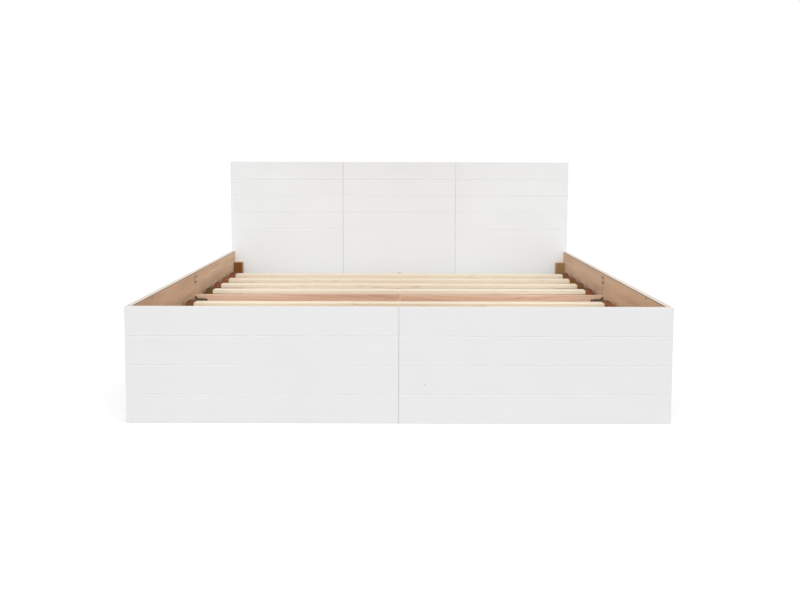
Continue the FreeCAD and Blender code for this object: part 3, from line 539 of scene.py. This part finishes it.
def cross_board_timber(settings):
    """Rough pine on edge, some boards pinker than others, with painted shade where they stand on the
    ledgers.
    """
    low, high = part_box("foot_ledger_right")
    shade_start, crest_start, crest_end = low[0] + 0.012, high[0] - 0.016, high[0] - 0.003
    crest_low, crest_high = high[2] + 0.002, high[2] + 0.012
    finish = Finish("cross_board_pine", Specular_IOR_Level=0.25)
    colour, roughness, height = finish.timber(X, Y, settings.cross_pale, settings.cross_dark, settings,
                                              Wander=0.07, Knots=0.0, Rings=0.3, Flecks=0.4)
    pink = finish.chance(finish.point(finish.seed, 0.0, 0.0))
    colour = finish.tint(colour, settings.cross_pink, pink, 0.4)
    place = finish.parts(finish.place)
    across = finish.math("ABSOLUTE", place["X"])
    # Painted shade: a band in the ledger's colour reaches a little above the ledger, and climbs towards the
    # side board.
    crest = finish.rise(across, crest_start, crest_end, crest_low, crest_high)
    under = finish.rise(finish.math("SUBTRACT", place["Z"], crest), 0.001, -0.001)
    darken = finish.math("MULTIPLY", under, finish.math("GREATER_THAN", across, shade_start))
    colour = finish.tint(colour, settings.ledger, darken, 0.85)
    return finish.dress(colour, roughness, height, 0.0002)


def sawn_tone(finish, tone, stripes_per_metre):
    """A dark timber's own tone, darkened where the saw has marked it."""
    darkening = (0.42, 0.36, 0.34)
    marks = finish.place_group(saw_marks(), {"Stripes": stripes_per_metre})["Marks"]
    return finish.mix(marks, tone, finish.mix(1.0, tone, darkening, "MULTIPLY"))


def stop_block_timber(settings):
    """Dark offcuts, whose hue and shade are drawn anew for each slat's place at each side, with painted
    shade on their tops.
    """
    first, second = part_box("slat_1"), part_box("slat_2")
    pitch = second[0][1] - first[0][1]
    middle = (first[0][1] + first[1][1]) / 2
    finish = Finish("stop_block_timber", Specular_IOR_Level=0.25)
    place = finish.parts(finish.place)
    row = finish.math("DIVIDE", finish.math("SUBTRACT", place["Y"], middle), pitch)
    side, row = finish.math("SIGN", place["X"]), finish.math("ROUND", row)
    hue = finish.chance(finish.point(side, row, float(settings.block_hues)))
    shade = finish.chance(finish.point(side, row, float(settings.block_shades)))
    tone = finish.mix(hue, settings.block_olive, settings.block_rust)
    dark = [1 - settings.block_shade] * 3
    tone = finish.mix(1.0, tone, finish.mix(shade, dark, (1, 1, 1)), "MULTIPLY")
    # Painted shade: the tops of the stop blocks are darkened.
    top = finish.math("GREATER_THAN", finish.parts(finish.facing)["Z"], 0.7)
    tone = finish.tint(tone, (0, 0, 0), top, settings.block_top_shade)
    height = finish.noise(finish.place, 400.0, 2.0)
    roughness = finish.rise(height, 0.3, 0.7, 0.6, 0.75)
    return finish.dress(sawn_tone(finish, tone, (40, 190, 190)), roughness, height, 0.0003)


def post_timber(settings):
    """Corner posts, dark and striped towards the foot and the head, pale and planed elsewhere."""
    finish = Finish("corner_post_timber", Specular_IOR_Level=0.25)
    colour, roughness, height = finish.timber(Z, Y, settings.post_face, settings.cross_dark, settings,
                                              Wander=0.05, Knots=0.0)
    draw = finish.rise(finish.chance(finish.point(finish.seed, 0.0, 1.0)), 0.1, 0.6)
    tone = finish.mix(draw, settings.post_brown, settings.post_straw)
    worn = finish.worn_edges(Reach=0.006, Patches=4.0)
    dark = finish.mix(worn, sawn_tone(finish, tone, (190, 190, 9)), settings.knot)
    return finish.dress(finish.mix(finish.faces(Y), colour, dark), roughness, height, 0.0003)


def plywood(name, thickness, grain, settings):
    """Sanded plywood, with its layers in the edges."""
    hardware, timber = settings.hardware, settings.timber
    finish = Finish(name, Specular_IOR_Level=0.3)
    colour, roughness, height = finish.timber(grain, thickness, hardware.ply_pale, hardware.ply_dark,
                                              timber, Wander=0.12, Knots=0.04)
    layers = finish.place_group(plywood_layers(), {"Thickness": thickness, "Layer": hardware.ply_layer})
    colour = finish.mix(layers["Core"], colour, hardware.ply_core)
    colour = finish.tint(colour, hardware.ply_core, finish.worn_edges(Reach=0.002), 0.25)
    return finish.dress(colour, roughness, height, 0.0001)


def plated_steel(name, base, rubbed):
    """Plated steel with a faint spangle, rubbed bright along its edges."""
    finish = Finish(name, Metallic=1.0)
    plate = finish.place_group(plating(), {"Spangles": 70.0})
    dull = [channel * 0.78 for channel in base]
    colour = finish.mix(plate["Spangle"], base, dull)
    colour = finish.tint(colour, rubbed, finish.worn_edges(Reach=0.0006, Patches=200.0), 0.6)
    return finish.dress(colour, plate["Roughness"], plate["Height"], 0.00002)


def moulded_wheel(base):
    """Dark moulded plastic, greyed where the tread has rolled."""
    finish = Finish("castor_wheel_plastic", Specular_IOR_Level=0.45)
    dust = finish.noise(finish.place, 260.0, 3.0, 0.6)
    pale = [min(channel * 3 + 0.05, 1) for channel in base]
    tread = finish.math("SUBTRACT", 1.0, finish.faces(Y, 0.5))
    rolled = finish.math("MULTIPLY_ADD", tread, 0.4, 0.12)
    dusty = finish.math("MULTIPLY", finish.rise(dust, 0.4, 0.75), rolled)
    colour = finish.mix(dusty, base, pale)
    grain = finish.noise(finish.place, 1500.0, 2.0)
    return finish.dress(colour, finish.rise(dust, 0.3, 0.8, 0.42, 0.68), grain, 0.00003)


def give(material, *names):
    """Put one material on whole nodes of the frame."""
    for name in names:
        mesh = NODES[name].data
        mesh.materials.clear()
        mesh.materials.append(material)


def nodes_named(*starts):
    return [name for name in sorted(NODES) if name.startswith(starts)]


def number_boards():
    """Give every node a number of its own, which sets its grain apart from its neighbours'."""
    for number, name in enumerate(sorted(NODES), start=1):
        NODES[name].pass_index = number


def add_object(name, data):
    """A new object in the scene that shows the given data."""
    thing = bpy.data.objects.new(name, data)
    bpy.context.scene.collection.objects.link(thing)
    return thing


class TurnedSolid:
    """A screw measured from its solid: its head's centre, its direction and its profile."""

    # Decimals of a metre that tell its rings apart.
    DIGITS = 5

    def __init__(self, points):
        low, high = box_of(points)
        size = high - low
        longest = max(range(3), key=lambda axis: size[axis])
        centre = (low + high) / 2
        self.axis = (X, Y, Z)[longest]
        rings = {}
        for point in points:
            along = (point - centre).dot(self.axis)
            radius = (point - centre - along * self.axis).length
            rings.setdefault(round(along, self.DIGITS), []).append(round(radius, self.DIGITS))
        widest = max(rings, key=lambda along: max(rings[along]))
        if widest < 0:
            self.axis = -self.axis
            rings = {-along: radii for along, radii in rings.items()}
        depths = sorted(rings, reverse=True)
        self.head = centre + depths[0] * self.axis
        self.profile = []
        for along in depths:
            for radius in sorted({max(rings[along]), min(rings[along])}, reverse=True):
                self.profile.append((depths[0] - along, radius))
        countersunk = self.profile[1][1] < self.profile[0][1]
        if countersunk:
            self.head += min(HEAD_LIFT, self.room_above()) * self.axis

    def room_above(self):
        """How far the head may rise before it leaves the frame's box."""
        return max((Vector(corner) - self.head).dot(self.axis) for corner in CAD_BOX)


def box_of(points):
    """The low and the high corner of the box round some points."""
    across, along, up = zip(*points)
    return Vector((min(across), min(along), min(up))), Vector((max(across), max(along), max(up)))


def separate_solids(name):
    """The points of each separate solid in a node's mesh."""
    same_point = 1e-6
    mesh = bmesh.new()
    mesh.from_mesh(NODES[name].data)
    bmesh.ops.remove_doubles(mesh, verts=mesh.verts, dist=same_point)
    left = set(mesh.verts)
    solids = []
    for start in mesh.verts:
        if start not in left:
            continue
        left.remove(start)
        reached = [start]
        for vertex in reached:
            for edge in vertex.link_edges:
                other = edge.other_vert(vertex)
                if other in left:
                    left.remove(other)
                    reached.append(other)
        solids.append([vertex.co.copy() for vertex in reached])
    mesh.free()
    return solids


def join_rings(mesh, rings):
    """Close the bands between neighbouring rings of equally many points."""
    for first, second in zip(rings, rings[1:]):
        for step in range(len(first)):
            after = (step + 1) % len(first)
            mesh.faces.new((first[step], first[after], second[after], second[step]))


def add_screw(mesh, solid):
    """A turned screw with a cross recess in its head, along its solid's profile."""
    segments = 24
    across = solid.axis.orthogonal().normalized()
    upright = solid.axis.cross(across)

    def place(radius, angle, depth):
        outward = math.cos(angle) * across + math.sin(angle) * upright
        return solid.head - depth * solid.axis + radius * outward

    turn = 2 * math.pi / segments
    rings = []
    for depth, radius in solid.profile:
        rings.append([mesh.verts.new(place(radius, step * turn, depth)) for step in range(segments)])
    join_rings(mesh, rings)
    mesh.faces.new(rings[-1])

    crown = solid.profile[0][1]
    reach = min(0.62 * max(radius for _, radius in solid.profile), 0.82 * crown)
    half_slot = 0.24 * reach
    recess_depth = 0.75 * reach
    taper = 0.6
    tip = math.hypot(reach, half_slot)
    spread = math.atan2(half_slot, reach)
    notch = half_slot * math.sqrt(2)
    outline = []
    for arm in range(4):
        angle = arm * math.pi / 2
        outline += [(tip, angle - spread), (tip, angle + spread), (notch, angle + math.pi / 4)]
    rim = [mesh.verts.new(place(radius, angle, 0)) for radius, angle in outline]
    floor = [mesh.verts.new(place(taper * radius, angle, recess_depth)) for radius, angle in outline]
    join_rings(mesh, (rim, floor))
    mesh.faces.new(floor)
    loops = [mesh.edges.get((ring[step], ring[(step + 1) % len(ring)]))
             for ring in (rings[0], rim) for step in range(len(ring))]
    bmesh.ops.triangle_fill(mesh, use_beauty=True, edges=loops, normal=solid.axis)


def add_plate(mesh, points):
    """A pressed plate with rounded corners and eased edges."""
    corner_steps = 5
    low, high = box_of(points)
    size = high - low
    thin = min(range(3), key=lambda axis: size[axis])
    first, second = [axis for axis in range(3) if axis != thin]
    radius = 0.16 * min(size[first], size[second])
    ease = 0.2 * size[thin]

    def ring(depth, inset):
        corners = []
        for quarter, (side, end) in enumerate(((1, 1), (-1, 1), (-1, -1), (1, -1))):
            for step in range(corner_steps + 1):
                angle = (quarter + step / corner_steps) * math.pi / 2
                spot = Vector((0, 0, 0))
                spot[first] = (low + high)[first] / 2 + side * (size[first] / 2 - radius)
                spot[second] = (low + high)[second] / 2 + end * (size[second] / 2 - radius)
                spot[first] += (radius - inset) * math.cos(angle)
                spot[second] += (radius - inset) * math.sin(angle)
                spot[thin] = depth
                corners.append(mesh.verts.new(spot))
        return corners

    rings = [ring(low[thin], ease), ring(low[thin] + ease, 0),
             ring(high[thin] - ease, 0), ring(high[thin], ease)]
    join_rings(mesh, rings)
    mesh.faces.new(rings[0])
    mesh.faces.new(rings[-1])


def fittings_piece(node, slot, *materials):
    """Screws with cross recesses and plates with eased edges, in place of one node's plain solids.

    The first material is for the screws, and the second, if the node has plates, for those.
    """
    mesh = bmesh.new()
    for points in separate_solids(node):
        low, high = box_of(points)
        thinnest, middle, _ = sorted(high - low)
        flat = thinnest < 0.5 * middle
        made = len(mesh.faces)
        if flat:
            add_plate(mesh, points)
        else:
            add_screw(mesh, TurnedSolid(points))
        mesh.faces.ensure_lookup_table()
        for face in mesh.faces[made:]:
            face.material_index = int(flat)
    bmesh.ops.recalc_face_normals(mesh, faces=mesh.faces)
    data = bpy.data.meshes.new(node + "_detailed")
    mesh.to_mesh(data)
    mesh.free()
    piece = add_object(node + "_detailed", data)
    for material in materials:
        data.materials.append(material)
    piece.pass_index = NODES[node].pass_index
    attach(piece, NODES[node]["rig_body"])
    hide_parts(node)


class STORAGEBED_OT_studio(bpy.types.Operator):
    """Make the camera, the pale floor, the white surroundings and the soft lamps"""

    bl_idname = "storage_bed.studio"
    bl_label = "Studio"

    def execute(self, context):
        studio = context.scene.storage_bed.studio
        self.add_camera(context, studio)
        self.add_floor(studio)
        self.add_surroundings(context, studio)
        for name, strength, azimuth, elevation in (
                ("key_light", studio.key, 1, 34),
                ("left_light", studio.left, -95, 42),
                ("right_light", studio.right, 95, 42),
                ("back_light", studio.left, 180, 42)):
            self.add_broad_light(name, strength, azimuth, elevation)
        self.add_head_lamp("left_head_lamp", -1, studio)
        self.add_head_lamp("right_head_lamp", 1, studio)
        return {"FINISHED"}

    def add_camera(self, context, studio):
        data = bpy.data.cameras.new("photo_camera")
        data.lens = studio.focal_length
        data.shift_x = studio.slide
        data.shift_y = studio.rise
        camera = add_object("photo_camera", data)
        level = Matrix.Rotation(math.pi / 2 - studio.pitch, 4, "X")
        lean = Matrix.Rotation(-studio.roll, 4, "Z")
        camera.matrix_world = Matrix.Translation(studio.eye) @ level @ lean
        context.scene.camera = camera

    def add_floor(self, studio):
        reach = 40.0
        data = bpy.data.meshes.new("studio_floor")
        corners = [(side * reach, end * reach, 0) for side, end in ((-1, -1), (1, -1), (1, 1), (-1, 1))]
        data.from_pydata(corners, [], [(0, 1, 2, 3)])
        floor = add_object("studio_floor", data)
        finish = Finish("studio_floor", Roughness=0.9, Specular_IOR_Level=0.1, Emission_Color=(1, 1, 1))
        seen = self.seen_directly(finish)
        finish.feed(finish.shader.inputs["Base Color"], finish.mix(seen, studio.floor, (1, 1, 1)))
        glow = finish.math("MULTIPLY", seen, studio.floor_glow)
        finish.feed(finish.shader.inputs["Emission Strength"], glow)
        data.materials.append(finish.material)

    def add_surroundings(self, context, studio):
        world = bpy.data.worlds.new("white_surroundings")
        world.use_nodes = True
        build = NodeBuilder(world.node_tree)
        build.tree.nodes.clear()
        seen = self.seen_directly(build)
        strength = build.math("MULTIPLY_ADD", seen, 1 - studio.sky, studio.sky)
        sky = build.add("ShaderNodeBackground", {"Color": (1, 1, 1), "Strength": strength})
        build.add("ShaderNodeOutputWorld", {"Surface": sky.outputs["Background"]})
        context.scene.world = world

    def seen_directly(self, build):
        """One for rays from the camera, a mirror or glass, zero for those that light the bed."""
        rays = build.add("ShaderNodeLightPath").outputs
        seen = build.math("MAXIMUM", rays["Is Camera Ray"], rays["Is Glossy Ray"])
        return build.math("MAXIMUM", seen, rays["Is Transmission Ray"])

    def add_broad_light(self, name, strength, azimuth, elevation):
        """A wide even light from an azimuth, counted from the foot, and an elevation, in degrees."""
        data = bpy.data.lights.new(name, "SUN")
        data.energy = strength
        data.angle = math.radians(70)
        light = add_object(name, data)
        light.rotation_euler = (math.radians(90 - elevation), 0, math.radians(azimuth))

    def add_head_lamp(self, name, side, studio):
        """A soft lamp above the footboard that lights one half of the headboard and the recess."""
        place, target = Vector((side * 0.55, -1.15, 0.8)), Vector((side * 0.7, 1, 0.2))
        data = bpy.data.lights.new(name, "AREA")
        data.energy = studio.head
        data.color = studio.head_tint
        data.shape = "RECTANGLE"
        data.size, data.size_y = 0.9, 0.3
        data.spread = math.radians(56)
        lamp = add_object(name, data)
        lamp.visible_camera = False
        aim = (target - place).to_track_quat("-Z", "Y")
        lamp.matrix_world = Matrix.Translation(place) @ aim.to_matrix().to_4x4()


class STORAGEBED_OT_panels(bpy.types.Operator):
    """Paint the headboard and the footboard"""

    bl_idname = "storage_bed.panels"
    bl_label = "Headboard and Footboard"

    def execute(self, context):
        settings = context.scene.storage_bed
        paint = settings.paint
        for start, seam in (("headboard_panel", paint.head_seam_shade), ("footboard_panel", paint.foot_seam_shade)):
            boards = nodes_named(start)
            material = painted_board("painted_" + start, boards[0], -Y, X, paint.edge, seam, settings)
            give(material, *boards)
        return {"FINISHED"}


class STORAGEBED_OT_side_boards(bpy.types.Operator):
    """Paint the rails and panels at the sides, bare inside"""

    bl_idname = "storage_bed.side_boards"
    bl_label = "Side Boards"

    def execute(self, context):
        settings = context.scene.storage_bed
        paint = settings.paint
        for side, outward in (("left", -X), ("right", X)):
            rail = "side_rail_" + side
            material = painted_board("painted_side_" + side, rail, outward, Y,
                                     paint.side_edge, paint.side_seam_shade, settings)
            give(material, rail, "side_panel_" + side)
        return {"FINISHED"}


class STORAGEBED_OT_drawer_faces(bpy.types.Operator):
    """Paint the grooved faces of the drawers"""

    bl_idname = "storage_bed.drawer_faces"
    bl_label = "Drawer Faces"

    def execute(self, context):
        settings = context.scene.storage_bed
        paint = settings.paint
        for side, outward in (("left", -X), ("right", X)):
            face = "drawer_face_" + side
            material = painted_board("painted_drawer_" + side, face, outward, Y,
                                     paint.edge, paint.white, settings)
            give(material, face)
        return {"FINISHED"}


class STORAGEBED_OT_slats(bpy.types.Operator):
    """Plane the slats"""

    bl_idname = "storage_bed.slats"
    bl_label = "Slats"

    def execute(self, context):
        timber = context.scene.storage_bed.timber
        # The slats' broad faces are painted paler and their edges darker, as painted light and shade.
        material = planed_board("slat_pine", X, Z, timber.slat_pale, timber.slat_dark, timber,
                                painted_face_shading=0.55, Wander=0.05, Knots=0.03, Rings=0.2, Flecks=0.7)
        give(material, *[name for name in nodes_named("slat_") if name != "slat_stops"])
        return {"FINISHED"}


class STORAGEBED_OT_dark_timbers(bpy.types.Operator):
    """Saw the stop blocks and the posts, and stain the ledgers"""

    bl_idname = "storage_bed.dark_timbers"
    bl_label = "Blocks, Posts and Ledgers"

    def execute(self, context):
        timber = context.scene.storage_bed.timber
        give(stop_block_timber(timber), "slat_stops")
        give(post_timber(timber), *nodes_named("head_post", "foot_post"))
        shade = [channel * 0.6 for channel in timber.ledger]
        give(planed_board("ledger_timber", Y, X, timber.ledger, shade, timber, Knots=0.1),
             *nodes_named("head_ledger", "foot_ledger"))
        return {"FINISHED"}


class STORAGEBED_OT_inner_timbers(bpy.types.Operator):
    """Plane the cross boards, the divider, the beam, the cleat and the battens"""

    bl_idname = "storage_bed.inner_timbers"
    bl_label = "Cross Boards, Divider and Battens"

    def execute(self, context):
        timber = context.scene.storage_bed.timber
        give(cross_board_timber(timber), *nodes_named("cross_board"))
        for name, grain, thickness, members in (
                ("divider_pine", Y, X, nodes_named("centre_")),
                ("batten_pine", X, Y, nodes_named("headboard_batten")),
                ("cleat_pine", Z, Y, nodes_named("footboard_cleat"))):
            give(planed_board(name, grain, thickness, timber.pine_pale, timber.pine_dark, timber), *members)
        return {"FINISHED"}


class STORAGEBED_OT_drawer_boxes(bpy.types.Operator):
    """Make the drawer boxes of plywood"""

    bl_idname = "storage_bed.drawer_boxes"
    bl_label = "Drawer Boxes"

    def execute(self, context):
        settings = context.scene.storage_bed
        for name, thickness, grain, starts in (
                ("plywood_lengthways", X, Y, ("drawer_front_", "drawer_back_")),
                ("plywood_crossways", Y, X, ("drawer_side_",)),
                ("plywood_bottom", Z, Y, ("drawer_bottom_",))):
            give(plywood(name, thickness, grain, settings), *nodes_named(*starts))
        return {"FINISHED"}


class STORAGEBED_OT_castors(bpy.types.Operator):
    """Plate the castor brackets, axles and screws, and mould the wheels"""

    bl_idname = "storage_bed.castors"
    bl_label = "Castors"

    def execute(self, context):
        hardware = context.scene.storage_bed.hardware
        zinc = plated_steel("zinc_plate", hardware.zinc, hardware.zinc_rubbed)
        give(zinc, *nodes_named("castor_brackets", "castor_axles"))
        give(moulded_wheel(hardware.wheel), *nodes_named("castor_wheel"))
        for side in ("left", "right"):
            fittings_piece("castor_screws_" + side, "zinc_steel", zinc)
        return {"FINISHED"}


class STORAGEBED_OT_fixings(bpy.types.Operator):
    """Cut the joint plates and the screws of the frame"""

    bl_idname = "storage_bed.fixings"
    bl_label = "Frame Fixings"

    def execute(self, context):
        hardware = context.scene.storage_bed.hardware
        plate = plated_steel("yellow_zinc_plate", hardware.yellow_zinc, hardware.yellow_rubbed)
        screw = plated_steel("black_zinc_screw", hardware.black_zinc, hardware.black_rubbed)
        fittings_piece("frame_fixings", "yellow_zinc_steel", screw, plate)
        return {"FINISHED"}


MAKERS = (
    STORAGEBED_OT_studio,
    STORAGEBED_OT_panels,
    STORAGEBED_OT_side_boards,
    STORAGEBED_OT_drawer_faces,
    STORAGEBED_OT_slats,
    STORAGEBED_OT_dark_timbers,
    STORAGEBED_OT_inner_timbers,
    STORAGEBED_OT_drawer_boxes,
    STORAGEBED_OT_castors,
    STORAGEBED_OT_fixings,
)


class STORAGEBED_PT_finishes(bpy.types.Panel):
    """Lists the makers of the storage bed and its settings"""

    bl_idname = "STORAGEBED_PT_finishes"
    bl_label = "Storage Bed"
    bl_space_type = "VIEW_3D"
    bl_region_type = "UI"
    bl_category = "Storage Bed"

    def draw(self, context):
        layout = self.layout
        for maker in MAKERS:
            layout.operator(maker.bl_idname)
        settings = context.scene.storage_bed
        for group in (settings.paint, settings.timber, settings.hardware, settings.studio):
            box = layout.box()
            for name in group.__annotations__:
                box.prop(group, name)


CLASSES = (BedPaint, BedTimber, BedHardware, BedStudio, BedSettings, *MAKERS, STORAGEBED_PT_finishes)


def register():
    for item in CLASSES:
        bpy.utils.register_class(item)
    bpy.types.Scene.storage_bed = bpy.props.PointerProperty(
        type=BedSettings, name="Storage bed", description="Finishes of the storage bed")


def unregister():
    del bpy.types.Scene.storage_bed
    for item in reversed(CLASSES):
        bpy.utils.unregister_class(item)


def main():
    register()
    bpy.context.scene.view_settings.view_transform = "Standard"
    number_boards()
    bpy.ops.storage_bed.studio()
    bpy.ops.storage_bed.panels()
    bpy.ops.storage_bed.side_boards()
    bpy.ops.storage_bed.drawer_faces()
    bpy.ops.storage_bed.slats()
    bpy.ops.storage_bed.dark_timbers()
    bpy.ops.storage_bed.inner_timbers()
    bpy.ops.storage_bed.drawer_boxes()
    bpy.ops.storage_bed.castors()
    bpy.ops.storage_bed.fixings()


if __name__ == "__main__":
    main()
